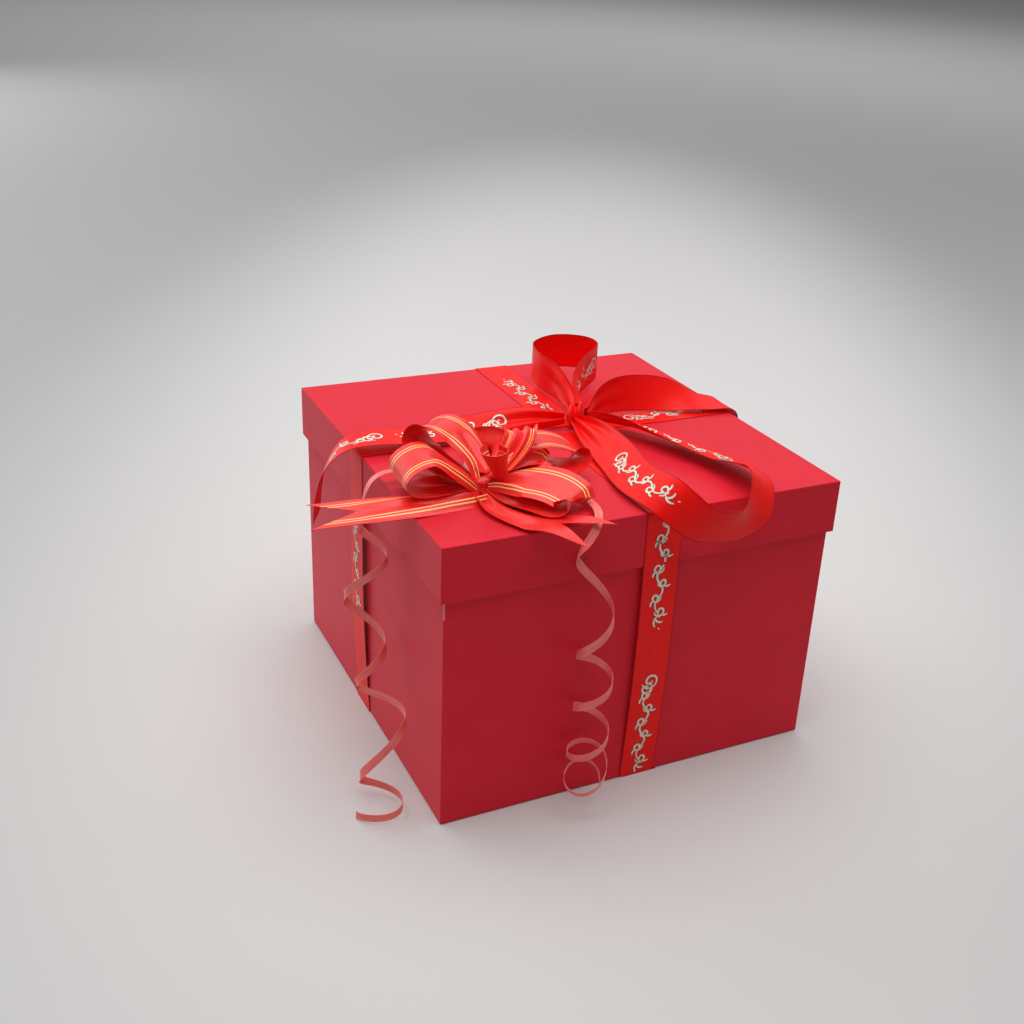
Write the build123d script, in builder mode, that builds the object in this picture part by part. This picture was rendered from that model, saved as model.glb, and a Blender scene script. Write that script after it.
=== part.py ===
"""Gift box: rigid paper-covered box with a lift-off lid, tied with satin ribbon, a pull bow and two curls.

Millimetres. The origin is at the middle of the underside, +Z up. +X runs along the front face to the
right, +Y runs to the back.
"""

import os
from math import cos, pi, radians, sin, tan

from build123d import *

# ---- driving dimensions: the box ----
LID_SIDE = 270.0
HEIGHT = 190.0
LID_DEPTH = 35.0
BOARD = 1.8
PAPER = 0.3
PASTE = 0.15
LINING = 0.2
SLIP = 0.3
TURN_IN = 18.0
EDGE_RADIUS = 0.6
TAPE_LEG = 12.0
TAPE_SHORT = 1.0

# ---- driving dimensions: satin ribbon ----
SATIN = 25.0
SATIN_THICK = 0.5
BAND_THICK = 0.7
FRONT_RUN_X = 6.5
BACK_RUN_X = 11.5
LEFT_RUN_Y = 12.0
RIGHT_RUN_Y = 5.0
CROSSING = (9.0, 6.0)
SEAM_GAP = 0.3
KNOT_CENTRE = (17.0, 3.0)
KNOT_RADIUS = 9.0
KNOT_GAP = 0.3
KNOT_TOP = 206.0

# ---- driving dimensions: pull bow and curls ----
POLY = 30.0
POLY_THICK = 0.5
PULL_CORE = (-88.0, -77.0, 202.0)
CORE_RADIUS = 7.5
CORE_HEIGHT = 14.0
LOOP_START = 9.0
LOOP_START_WIDTH = 6.0
FULL_WIDTH_SHARE = 0.6
PAD_THICK = 1.5
NOTCH_DEPTH = 28.0
PRONG_END = 0.6
NOTCH_OVERRUN = 3.0
NOTCH_CUT_DROP = 10.0
NOTCH_CUT_HEIGHT = 30.0
CURL_WIDTH = 5.0
CURL_OUTER = 25.0
ARC_SHARE = 0.45

# ---- derived sizes ----
LID_WRAP_IN = LID_SIDE - 2 * PAPER
LID_BOARD_OUT = LID_WRAP_IN - 2 * PASTE
LID_BOARD_IN = LID_BOARD_OUT - 2 * BOARD
LID_MOUTH = LID_BOARD_IN - 2 * PAPER
BASE_SIDE = LID_MOUTH - 2 * SLIP
BASE_WRAP_IN = BASE_SIDE - 2 * PAPER
BASE_BOARD_OUT = BASE_WRAP_IN - 2 * PASTE
BASE_BOARD_IN = BASE_BOARD_OUT - 2 * BOARD
BASE_MOUTH = BASE_BOARD_IN - 2 * PAPER
BASE_BOTTOM = SATIN_THICK
LID_RIM = HEIGHT - LID_DEPTH
BASE_RIM = HEIGHT - PAPER - BOARD - LINING
LID_HALF = LID_SIDE / 2
BASE_HALF = BASE_SIDE / 2

# ---- the bow's satin bands: (centre, direction of the width, width) along each band ----
BOW_BANDS = {
    "bow_loop_back": [
        ((18.5, 14.5, 201), (0.2, 0, 1), 9),
        ((19, 26, 205), (0.1, 0, 1), 18),
        ((19, 42, 209.5), (0, 0, 1), 24),
        ((17, 64, 211), (0, 0, 1), SATIN),
        ((24, 88, 211), (0, 0, 1), SATIN),
        ((46, 100, 211), (0, 0, 1), SATIN),
        ((66, 90, 211), (0, 0, 1), SATIN),
        ((67, 70, 211), (0, 0, 1), SATIN),
        ((47, 51, 209.5), (0, 0, 1), SATIN),
        ((30, 32, 206), (0, 0, 1), 20),
        ((23, 15, 201), (0, 0, 1), 9),
    ],
    "bow_loop_front": [
        ((12, -9, 199.5), (0.8, 0, 0.6), 9),
        ((12, -31, 199.2), (0.82, 0, 0.57), 20),
        ((8, -68, 199.5), (0.82, 0.06, 0.56), SATIN),
        ((1, -105, 200.5), (0.8, -0.1, 0.56), SATIN),
        ((2, -136, 202.5), (0.72, -0.1, 0.66), SATIN),
        ((8, -149, 197), (0.62, -0.2, 0.76), SATIN),
        ((20, -156, 188), (0.45, -0.3, 0.84), SATIN),
        ((44, -157, 184), (-0.1, -0.3, 0.95), SATIN),
        ((62, -151, 191), (-0.5, 0.1, 0.85), SATIN),
        ((71, -138, 201), (-0.7, 0.1, 0.65), SATIN),
        ((75, -118, 200.5), (-0.88, 0.05, 0.4), SATIN),
        ((73, -90, 197), (-0.95, -0.2, 0.2), SATIN),
        ((60, -55, 197), (-0.85, -0.35, 0.3), 24),
        ((43, -22, 199), (-0.75, -0.5, 0.45), 19),
        ((26, -7, 200), (-0.6, -0.5, 0.6), 9),
    ],
    "bow_tail_left": [
        ((4.5, 4, 198.5), (0, 0.6, 0.8), 9),
        ((-20, 8, 199), (0, 0.8, 0.6), 20),
        ((-58, 10, 196.5), (0, 0.95, 0.3), SATIN),
        ((-95, 9, 196.5), (0, 1, 0.1), SATIN),
        ((-126, 11, 197.5), (0.05, 1, 0), SATIN),
        ((-143, 13, 193.5), (0.2, 0.97, -0.1), SATIN),
        ((-154, 14, 181), (0.38, 0.92, -0.1), SATIN),
        ((-159, 14, 165), (0.44, 0.9, -0.05), SATIN),
        ((-161, 14, 147), (0.45, 0.89, 0), SATIN),
    ],
    "bow_tail_right": [
        ((29, 5, 199), (0, 0.2, 1), 9),
        ((40, 13, 203.3), (0, 0, 1), 22),
        ((60, 17, 204.5), (0, 0.15, 1), SATIN),
        ((90, 14, 202), (0, 0.6, 0.8), SATIN),
        ((118, 8, 195.5), (0, 0.95, 0.2), SATIN),
        ((137.5, 4, 191.8), (0, 1, 0), SATIN),
        ((142, 3, 178), (0, 1, 0), SATIN),
        ((143, 3, 150), (0, 1, 0), SATIN),
    ],
}

# ---- pull bow loops: heading, rise and roll in degrees, then length, height and width ----
PULL_LOOPS = {
    "pull_bow_loop_left_front": (177, 12, 12, 54, 26, POLY),
    "pull_bow_loop_left_back": (124, 46, -12, 46, 16, POLY),
    "pull_bow_loop_back": (72, 3, 0, 44, 11, 26),
    "pull_bow_loop_right_back": (14, 11, -10, 64, 24, POLY),
    "pull_bow_loop_right_inner": (14, 11, -10, 44, 9, 22),
    "pull_bow_loop_right_front": (-44, 9, 18, 56, 19, POLY),
    "pull_bow_loop_centre": (-100, 58, 0, 26, 12, 20),
    "pull_bow_loop_top": (28, 62, 25, 36, 11, 20),
}

# outline of one loop seen from its side: share of its length, share of its height
LOOP_OUTLINE = [
    (0.0, -0.04),
    (0.36, -0.36),
    (0.70, -0.5),
    (0.92, -0.34),
    (1.0, 0.0),
    (0.92, 0.34),
    (0.70, 0.5),
    (0.36, 0.36),
    (0.0, 0.04),
]

PULL_TAILS = {
    "pull_bow_tail_left": [
        ((-98, -82, 192.2), (0.35, 0.94, 0), 10),
        ((-113, -83, 192.2), (0.35, 0.94, 0), 22),
        ((-136, -82, 192.8), (0.32, 0.94, 0.05), 28),
        ((-162, -77, 191), (0.25, 0.96, 0.05), POLY),
        ((-190, -71, 189), (0.2, 0.97, 0.05), POLY),
    ],
    "pull_bow_tail_right": [
        ((-86, -88, 192.2), (0.9, 0.4, 0), 10),
        ((-83, -105, 191.4), (0.97, 0.2, 0), 26),
        ((-72, -125, 191.9), (0.99, 0.1, 0.02), POLY),
        ((-60, -143, 195), (0.99, 0.05, 0.05), POLY),
        ((-49, -160, 194.5), (0.99, 0, 0.05), POLY),
    ],
}

# ---- curls: the plain stretch from the pull bow, then the middle line of the curly stretch ----
CURL_LEADS = {
    "curl_left_lead": [
        (-95, -69, 194),
        (-104, -56, 194.5),
        (-117, -47, 197),
        (-131, -43, 198.5),
        (-144, -45, 196),
        (-150, -50, 186),
        (-150, -50, 172),
    ],
    "curl_front_lead": [
        (-79, -77, 194),
        (-62, -76, 193.5),
        (-45, -82, 193),
        (-35, -95, 193),
        (-33, -111, 193),
        (-35, -126, 194.5),
        (-40.5, -140.5, 195),
        (-48.5, -149.5, 185),
        (-48.5, -149.5, 171),
    ],
}
CURL_COILS = {
    "curl_left_coil": [
        (-150, -50, 172),
        (-150, -50, 143),
        (-150.5, -47, 113),
        (-151, -57, 85),
        (-152, -74, 62),
        (-155, -93, 43),
        (-161, -107, 24),
        (-170, -115, 13.5),
    ],
    "curl_front_coil": [
        (-48.5, -149.5, 171),
        (-48.5, -149.5, 146),
        (-43, -150, 119),
        (-41, -150, 92),
        (-41.5, -149.5, 66),
        (-43, -150, 42),
        (-46, -149.5, 20),
    ],
}

os.makedirs("parts", exist_ok=True)


def save(part, name):
    """Label a finished piece and write it to its own file."""
    part.label = name
    export_step(part, f"parts/{name}.step")


def slab(side, bottom, top, mode=Mode.ADD):
    """Square block centred on the box's axis."""
    with BuildSketch(Plane.XY.offset(bottom)) as outline:
        Rectangle(side, side)
    extrude(outline.sketch, amount=top - bottom, mode=mode)


def corner_tapes(outside, board_bottom, board_top, name):
    """Paper stays glued round the four upright corners of a board tray, a little short of its ends."""
    bottom = board_bottom + TAPE_SHORT
    top = board_top - TAPE_SHORT
    past_tapes = outside + 4 * PASTE
    with BuildPart() as tapes:
        slab(outside + 2 * PASTE, bottom, top)
        slab(outside, bottom, top, mode=Mode.SUBTRACT)
        with BuildSketch(Plane.XY.offset(bottom)):
            Rectangle(outside - 2 * TAPE_LEG, past_tapes)
            Rectangle(past_tapes, outside - 2 * TAPE_LEG)
        extrude(amount=top - bottom, mode=Mode.SUBTRACT)
    save(tapes.part, name)


# ---- base ----
BASE_BOARD_BOTTOM = BASE_BOTTOM + PAPER
BASE_BOARD_TOP = BASE_RIM - PAPER
BASE_FLOOR = BASE_BOARD_BOTTOM + BOARD

with BuildPart() as base_board:
    slab(BASE_BOARD_OUT, BASE_BOARD_BOTTOM, BASE_BOARD_TOP)
    slab(BASE_BOARD_IN, BASE_FLOOR, BASE_BOARD_TOP, mode=Mode.SUBTRACT)
save(base_board.part, "base_board")

corner_tapes(BASE_BOARD_OUT, BASE_BOARD_BOTTOM, BASE_BOARD_TOP, "base_corner_tapes")

with BuildPart() as base_wrap:
    slab(BASE_SIDE, BASE_BOTTOM, BASE_RIM)
    fillet(base_wrap.edges().filter_by(Axis.Z), EDGE_RADIUS)
    fillet(base_wrap.faces().sort_by(Axis.Z)[0].edges(), EDGE_RADIUS)
    slab(BASE_WRAP_IN, BASE_BOARD_BOTTOM, BASE_BOARD_TOP, mode=Mode.SUBTRACT)
    slab(BASE_BOARD_IN, BASE_BOARD_TOP, BASE_RIM, mode=Mode.SUBTRACT)
    slab(BASE_BOARD_IN, BASE_RIM - TURN_IN, BASE_RIM)
    slab(BASE_MOUTH, BASE_RIM - TURN_IN, BASE_RIM, mode=Mode.SUBTRACT)
save(base_wrap.part, "base_wrap")

with BuildPart() as base_liner:
    slab(BASE_BOARD_IN, BASE_FLOOR, BASE_RIM - TURN_IN)
    slab(BASE_BOARD_IN - 2 * LINING, BASE_FLOOR + LINING, BASE_RIM - TURN_IN, mode=Mode.SUBTRACT)
save(base_liner.part, "base_liner")

# ---- lid ----
LID_BOARD_TOP = HEIGHT - PAPER
LID_BOARD_BOTTOM = LID_RIM + PAPER
LID_CEILING = LID_BOARD_TOP - BOARD

with BuildPart() as lid_board:
    slab(LID_BOARD_OUT, LID_BOARD_BOTTOM, LID_BOARD_TOP)
    slab(LID_BOARD_IN, LID_BOARD_BOTTOM, LID_CEILING, mode=Mode.SUBTRACT)
save(lid_board.part, "lid_board")

corner_tapes(LID_BOARD_OUT, LID_BOARD_BOTTOM, LID_BOARD_TOP, "lid_corner_tapes")

with BuildPart() as lid_wrap:
    slab(LID_SIDE, LID_RIM, HEIGHT)
    fillet(lid_wrap.edges().filter_by(Axis.Z), EDGE_RADIUS)
    fillet(lid_wrap.faces().sort_by(Axis.Z)[-1].edges(), EDGE_RADIUS)
    slab(LID_WRAP_IN, LID_BOARD_BOTTOM, LID_BOARD_TOP, mode=Mode.SUBTRACT)
    slab(LID_BOARD_IN, LID_RIM, LID_BOARD_BOTTOM, mode=Mode.SUBTRACT)
    slab(LID_BOARD_IN, LID_RIM, LID_RIM + TURN_IN)
    slab(LID_MOUTH, LID_RIM, LID_RIM + TURN_IN, mode=Mode.SUBTRACT)
save(lid_wrap.part, "lid_wrap")

with BuildPart() as lid_liner:
    slab(LID_BOARD_IN, LID_RIM + TURN_IN, LID_CEILING)
    slab(LID_BOARD_IN - 2 * LINING, LID_RIM + TURN_IN, LID_CEILING - LINING, mode=Mode.SUBTRACT)
save(lid_liner.part, "lid_liner")

# ---- satin ribbon round the box ----
UNDER_REACH = BASE_HALF + SATIN_THICK

with BuildPart() as ribbon_under_base:
    with BuildSketch():
        with Locations((FRONT_RUN_X, -UNDER_REACH / 2), (FRONT_RUN_X, UNDER_REACH / 2)):
            Rectangle(SATIN, UNDER_REACH)
        with Locations((-UNDER_REACH / 2, LEFT_RUN_Y), (UNDER_REACH / 2, LEFT_RUN_Y)):
            Rectangle(UNDER_REACH, SATIN)
    extrude(amount=SATIN_THICK)
save(ribbon_under_base.part, "ribbon_under_base")


def base_drop(heading, across, name):
    """Ribbon down one wall of the base, from just under the lid's rim to the underside."""
    along = Vector(heading).cross(Vector(0, 0, 1))
    middle = along.dot(Vector(across[0], across[1], 0))
    outward = Plane(origin=(0, 0, 0), x_dir=heading, z_dir=along)
    top = LID_RIM - SEAM_GAP
    with BuildPart() as drop:
        with BuildSketch(outward.offset(middle - SATIN / 2)):
            with BuildLine():
                Polyline(
                    (UNDER_REACH, 0),
                    (UNDER_REACH + SATIN_THICK, 0),
                    (LID_HALF + SATIN_THICK, top),
                    (LID_HALF, top),
                    close=True,
                )
            make_face()
        extrude(amount=SATIN)
    save(drop.part, name)


base_drop((0, -1, 0), (FRONT_RUN_X, 0), "ribbon_base_front")
base_drop((0, 1, 0), (FRONT_RUN_X, 0), "ribbon_base_back")
base_drop((-1, 0, 0), (0, LEFT_RUN_Y), "ribbon_base_left")
base_drop((1, 0, 0), (0, LEFT_RUN_Y), "ribbon_base_right")


def lid_run(heading, across, start, name):
    """Ribbon from the crossing, along the lid's top and down the lid's skirt to its rim."""
    along = Vector(heading).cross(Vector(0, 0, 1))
    middle = along.dot(Vector(across[0], across[1], 0))
    outward = Plane(origin=(0, 0, 0), x_dir=heading, z_dir=along)
    with BuildPart() as run:
        with BuildSketch(outward.offset(middle - SATIN / 2)):
            with BuildLine():
                Polyline(
                    (start, HEIGHT),
                    (LID_HALF, HEIGHT),
                    (LID_HALF, LID_RIM + SEAM_GAP),
                    (LID_HALF + SATIN_THICK, LID_RIM + SEAM_GAP),
                    (LID_HALF + SATIN_THICK, HEIGHT + SATIN_THICK),
                    (start, HEIGHT + SATIN_THICK),
                    close=True,
                )
            make_face()
        extrude(amount=SATIN)
    save(run.part, name)


lid_run((0, -1, 0), (FRONT_RUN_X, 0), -CROSSING[1], "ribbon_lid_front")
lid_run((0, 1, 0), (BACK_RUN_X, 0), CROSSING[1], "ribbon_lid_back")
lid_run((-1, 0, 0), (0, LEFT_RUN_Y), -(FRONT_RUN_X - SATIN / 2), "ribbon_lid_left")
lid_run((1, 0, 0), (0, RIGHT_RUN_Y), BACK_RUN_X + SATIN / 2, "ribbon_lid_right")

# ---- knot ----
KNOT_BOTTOM = HEIGHT + SATIN_THICK + KNOT_GAP
KNOT_MIDDLE = (KNOT_BOTTOM + KNOT_TOP) / 2

with BuildPart() as ribbon_knot:
    with BuildSketch(Plane(origin=(*KNOT_CENTRE, 0), x_dir=(1, 0, 0), z_dir=(0, -1, 0))):
        with BuildLine():
            ThreePointArc((0, KNOT_BOTTOM), (KNOT_RADIUS, KNOT_MIDDLE), (0, KNOT_TOP))
            Line((0, KNOT_TOP), (0, KNOT_BOTTOM))
        make_face()
    revolve(axis=Axis((*KNOT_CENTRE, 0), (0, 0, 1)))
save(ribbon_knot.part, "ribbon_knot")


# ---- bands of ribbon ----
def section_planes(stations):
    """One plane across the band at each station, its x along the width."""
    centres = [Vector(*place) for place, _, _ in stations]
    planes = []
    for index, (_, width_way, _) in enumerate(stations):
        ahead = centres[min(index + 1, len(centres) - 1)]
        behind = centres[max(index - 1, 0)]
        across = Vector(*width_way).normalized()
        along = ahead - behind
        along = (along - across * along.dot(across)).normalized()
        planes.append(Plane(origin=centres[index], x_dir=across, z_dir=along))
    return planes


def band(stations, thickness):
    """Thin solid of straight-sided stretches through the stations; call it inside a BuildPart."""
    sections = []
    for plane, (_, _, width) in zip(section_planes(stations), stations):
        with BuildSketch(plane) as section:
            Rectangle(width, thickness)
        sections.append(section.sketch)
    for near_end, far_end in zip(sections, sections[1:]):
        loft([near_end, far_end], ruled=True)


for band_name, band_stations in BOW_BANDS.items():
    with BuildPart() as bow_band:
        band(band_stations, BAND_THICK)
    save(bow_band.part, band_name)


# ---- pull bow ----
def loop_stations(heading, rise, roll, length, height, width):
    """Stations of one loop that leaves the core, turns over at its tip and comes back."""
    out = Vector(
        cos(radians(heading)) * cos(radians(rise)),
        sin(radians(heading)) * cos(radians(rise)),
        sin(radians(rise)),
    )
    level = Vector(-sin(radians(heading)), cos(radians(heading)), 0)
    lift = out.cross(level)
    across = level * cos(radians(roll)) + lift * sin(radians(roll))
    up = out.cross(across)
    stations = []
    for share, side in LOOP_OUTLINE:
        reach = LOOP_START + share * (length - LOOP_START)
        centre = Vector(*PULL_CORE) + out * reach + up * (side * height)
        spread = LOOP_START_WIDTH + (width - LOOP_START_WIDTH) * min(1.0, share / FULL_WIDTH_SHARE)
        stations.append((tuple(centre), tuple(across), spread))
    return stations


for loop_name, loop_shape in PULL_LOOPS.items():
    with BuildPart() as pull_loop:
        band(loop_stations(*loop_shape), POLY_THICK)
    save(pull_loop.part, loop_name)

for tail_name, tail_stations in PULL_TAILS.items():
    tip_plane = section_planes(tail_stations)[-1]
    tip = tip_plane.origin
    back = (Vector(*tail_stations[-2][0]) - tip).normalized()
    half = tip_plane.x_dir * (tail_stations[-1][2] / 2 - PRONG_END)
    overrun = back * NOTCH_OVERRUN
    notch = [tip - half, tip - half - overrun, tip + half - overrun, tip + half, tip + back * NOTCH_DEPTH]
    with BuildPart() as pull_tail:
        band(tail_stations, POLY_THICK)
        with BuildSketch(Plane.XY.offset(HEIGHT - NOTCH_CUT_DROP)):
            Polygon(*[(corner.X, corner.Y) for corner in notch], align=None)
        extrude(amount=NOTCH_CUT_HEIGHT, mode=Mode.SUBTRACT)
    save(pull_tail.part, tail_name)

with BuildPart() as pull_bow_core:
    with BuildSketch(Plane.XY.offset(HEIGHT + PAD_THICK)):
        with Locations(PULL_CORE[:2]):
            Circle(CORE_RADIUS)
    extrude(amount=CORE_HEIGHT)
    fillet(pull_bow_core.faces().sort_by(Axis.Z)[-1].edges(), CORE_RADIUS / 2)
save(pull_bow_core.part, "pull_bow_core")

with BuildPart() as pull_bow_pad:
    with BuildSketch(Plane.XY.offset(HEIGHT)):
        with Locations(PULL_CORE[:2]):
            Rectangle(2 * CORE_RADIUS, 2 * CORE_RADIUS)
    extrude(amount=PAD_THICK)
save(pull_bow_pad.part, "pull_bow_pad")


# ---- curls ----
def turn_radii(points):
    """Largest arc at each inner point that leaves a tenth of the shorter run straight."""
    radii = []
    for before, here, after in zip(points, points[1:], points[2:]):
        run_in = Vector(*here) - Vector(*before)
        run_out = Vector(*after) - Vector(*here)
        shorter = min(run_in.length, run_out.length)
        radii.append(ARC_SHARE * shorter / tan(radians(run_in.get_angle(run_out) / 2)))
    return radii


def tube(points, diameter, name):
    """Round tube along straight runs joined by tangent arcs."""
    radii = turn_radii(points)
    print(name, "radii", [round(radius, 1) for radius in radii])
    with BuildPart() as tube_part:
        with BuildLine() as route:
            FilletPolyline(*points, radius=radii)
        path = route.wires()[0]
        with BuildSketch(Plane(origin=path @ 0, z_dir=path % 0)):
            Circle(diameter / 2)
        sweep(path=path)
    expected = pi * (diameter / 2) ** 2 * path.length
    volume_ratio = tube_part.part.volume / expected
    print(name, "length", round(path.length, 1), "volume ratio", round(volume_ratio, 4))
    save(tube_part.part, name)


for lead_name, lead_points in CURL_LEADS.items():
    tube(lead_points, CURL_WIDTH, lead_name)

for coil_name, coil_points in CURL_COILS.items():
    tube(coil_points, CURL_OUTER, coil_name)
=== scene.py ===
from bisect import bisect_right
from math import atan2, cos, hypot, pi, radians, sin, sqrt

import bmesh
import bpy
from mathutils import Matrix, Vector


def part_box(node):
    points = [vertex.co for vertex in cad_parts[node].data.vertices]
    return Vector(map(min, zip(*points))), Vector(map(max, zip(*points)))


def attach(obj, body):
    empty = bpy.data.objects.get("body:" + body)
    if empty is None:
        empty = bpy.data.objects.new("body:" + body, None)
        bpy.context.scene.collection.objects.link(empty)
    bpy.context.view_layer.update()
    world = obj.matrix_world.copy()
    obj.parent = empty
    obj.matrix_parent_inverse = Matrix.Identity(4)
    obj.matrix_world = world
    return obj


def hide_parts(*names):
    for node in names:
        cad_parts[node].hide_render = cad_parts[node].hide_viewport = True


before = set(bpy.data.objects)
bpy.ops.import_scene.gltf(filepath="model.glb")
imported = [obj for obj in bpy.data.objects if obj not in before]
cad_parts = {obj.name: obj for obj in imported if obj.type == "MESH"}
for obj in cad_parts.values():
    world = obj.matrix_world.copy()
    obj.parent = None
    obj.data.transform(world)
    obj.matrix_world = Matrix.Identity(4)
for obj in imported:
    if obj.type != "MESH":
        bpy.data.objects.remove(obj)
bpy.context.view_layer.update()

# Gift box, all in metres. The sizes that follow are given in millimetres and turned to metres by MM.
MM = 0.001

# ---- camera ----
SENSOR = 36.0
LENS = 44.767
CAMERA_PLACE = Vector((-0.366009, -0.707534, 0.503037))
CAMERA_RISE = radians(25.0307)
CAMERA_HEADING = radians(-28.1492)
CAMERA_ROLL = radians(3.4755)
CAMERA_SHIFT = -0.053657
# level directions: to the camera's right, and away from it
CAMERA_SIDE = Vector((cos(CAMERA_HEADING), sin(CAMERA_HEADING), 0))
AWAY = Vector((-sin(CAMERA_HEADING), cos(CAMERA_HEADING), 0))


def make_camera():
    """Camera half a metre up, turned to the box's near corner."""
    back = Vector(
        (
            sin(CAMERA_HEADING) * cos(CAMERA_RISE),
            -cos(CAMERA_HEADING) * cos(CAMERA_RISE),
            sin(CAMERA_RISE),
        )
    )
    upright = back.cross(CAMERA_SIDE)
    right = CAMERA_SIDE * cos(CAMERA_ROLL) + upright * sin(CAMERA_ROLL)
    up = upright * cos(CAMERA_ROLL) - CAMERA_SIDE * sin(CAMERA_ROLL)
    turn = Matrix((right, up, back)).transposed().to_4x4()
    data = bpy.data.cameras.new("camera")
    data.sensor_width = SENSOR
    data.lens = LENS
    data.shift_x = CAMERA_SHIFT
    camera = bpy.data.objects.new("camera", data)
    camera.matrix_world = Matrix.Translation(CAMERA_PLACE) @ turn
    bpy.context.collection.objects.link(camera)
    bpy.context.scene.camera = camera


make_camera()


# ---- sizes shared by the pieces ----
SATIN = 25 * MM
POLY = 30 * MM
FILM = 0.35 * MM
CURL_WIDTH = 5 * MM
CURL_FILM = 0.25 * MM
# gold lines of the pull bow: a pair's distance from the middle, a line's from its pair's, its width
GOLD_PAIR = 9.6 * MM
GOLD_SPREAD = 1.15 * MM
GOLD_LINE = 0.8 * MM

LID_LOW, LID_HIGH = (Vector(corner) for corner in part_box("lid_wrap"))
LID_HALF = LID_HIGH.x
LID_TOP = LID_HIGH.z
LID_RIM = LID_LOW.z
BASE_HALF = Vector(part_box("base_wrap")[1]).x

RIBBON_MAP = "ribbon"
# the ribbon map runs this far along the ribbon for each unit, and across it from 0 to 1
MAP_LENGTH = 100 * MM


# ---- colours and nodes ----
def colour(code):
    """Linear colour, with alpha, from an sRGB hex code."""
    linear = []
    for start in (0, 2, 4):
        value = int(code[start : start + 2], 16) / 255
        linear.append(value / 12.92 if value <= 0.04045 else ((value + 0.055) / 1.055) ** 2.4)
    return (*linear, 1.0)


def add(tree, kind, inputs=None, stops=(), **settings):
    """Add a node with its settings and links.

    Inputs maps a socket's name or number to a value or to an output socket, and stops are the places
    and colour codes of a colour ramp."""
    node = tree.nodes.new(kind)
    for key, value in settings.items():
        setattr(node, key, value)
    if stops:
        elements = node.color_ramp.elements
        for element, (place, code) in zip(elements, stops):
            element.position = place
            element.color = colour(code)
        for place, code in stops[2:]:
            elements.new(place).color = colour(code)
        node.color_ramp.interpolation = "EASE"
    for key, value in (inputs or {}).items():
        if isinstance(value, bpy.types.NodeSocket):
            tree.links.new(value, node.inputs[key])
        else:
            node.inputs[key].default_value = value
    return node


def new_material(name):
    """Empty material with its output node, ready for a shader."""
    material = bpy.data.materials.new(name)
    material.use_nodes = True
    tree = material.node_tree
    tree.nodes.clear()
    output = tree.nodes.new("ShaderNodeOutputMaterial")
    return material, tree, output


# the worn spot at the near corner, just under the lid: its middle and half its size on each axis
WORN_SPOT = {
    "X": (-BASE_HALF, 0.8 * MM),
    "Y": (-BASE_HALF, 0.8 * MM),
    "Z": (149 * MM, 6 * MM),
}


def art_paper():
    """Dyed uncoated art paper, calendered: an even matte red with a faint fibre cloud and tooth."""
    material, tree, output = new_material("dyed_art_paper")
    place = add(tree, "ShaderNodeTexCoord").outputs["Object"]
    cloud = add(tree, "ShaderNodeTexNoise", {"Vector": place, "Scale": 1 / (22 * MM), "Detail": 6.0})
    tooth = add(tree, "ShaderNodeTexNoise", {"Vector": place, "Scale": 1 / (0.7 * MM), "Detail": 3.0})
    tint = add(
        tree,
        "ShaderNodeValToRGB",
        {"Fac": cloud.outputs["Fac"]},
        stops=[(0.3, "D71D2F"), (0.72, "DB1F31")],
    ).outputs["Color"]
    split = add(tree, "ShaderNodeSeparateXYZ", {0: place})
    mask = 1.0
    for axis, (middle, reach) in WORN_SPOT.items():
        within = add(
            tree,
            "ShaderNodeMath",
            {0: split.outputs[axis], 1: middle, 2: reach},
            operation="COMPARE",
        ).outputs[0]
        mask = add(tree, "ShaderNodeMath", {0: mask, 1: within}, operation="MULTIPLY").outputs[0]
    worn = add(
        tree,
        "ShaderNodeMix",
        {0: mask, 6: tint, 7: colour("E08C90")},
        data_type="RGBA",
    ).outputs[2]
    bump = add(
        tree,
        "ShaderNodeBump",
        {"Height": tooth.outputs["Fac"], "Strength": 0.12, "Distance": 0.05 * MM},
    )
    shader = add(
        tree,
        "ShaderNodeBsdfPrincipled",
        {
            "Base Color": worn,
            "Roughness": 0.5,
            "IOR": 1.5,
            "Specular IOR Level": 0.15,
            "Sheen Weight": 0.22,
            "Sheen Roughness": 0.35,
            "Sheen Tint": colour("FFB4CC"),
            "Normal": bump.outputs["Normal"],
        },
    )
    tree.links.new(shader.outputs[0], output.inputs[0])
    return material


def board_stock():
    """Greyboard, pressed from waste paper: grey-brown, with darker flecks of old print."""
    material, tree, output = new_material("pressed_greyboard")
    place = add(tree, "ShaderNodeTexCoord").outputs["Object"]
    fleck = add(tree, "ShaderNodeTexNoise", {"Vector": place, "Scale": 1 / (1.5 * MM), "Detail": 8.0})
    tint = add(
        tree,
        "ShaderNodeValToRGB",
        {"Fac": fleck.outputs["Fac"]},
        stops=[(0.32, "77716A"), (0.6, "A59E93")],
    ).outputs["Color"]
    bump = add(
        tree,
        "ShaderNodeBump",
        {"Height": fleck.outputs["Fac"], "Strength": 0.2, "Distance": 0.1 * MM},
    )
    shader = add(
        tree,
        "ShaderNodeBsdfPrincipled",
        {"Base Color": tint, "Roughness": 0.9, "Normal": bump.outputs["Normal"]},
    )
    tree.links.new(shader.outputs[0], output.inputs[0])
    return material


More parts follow.
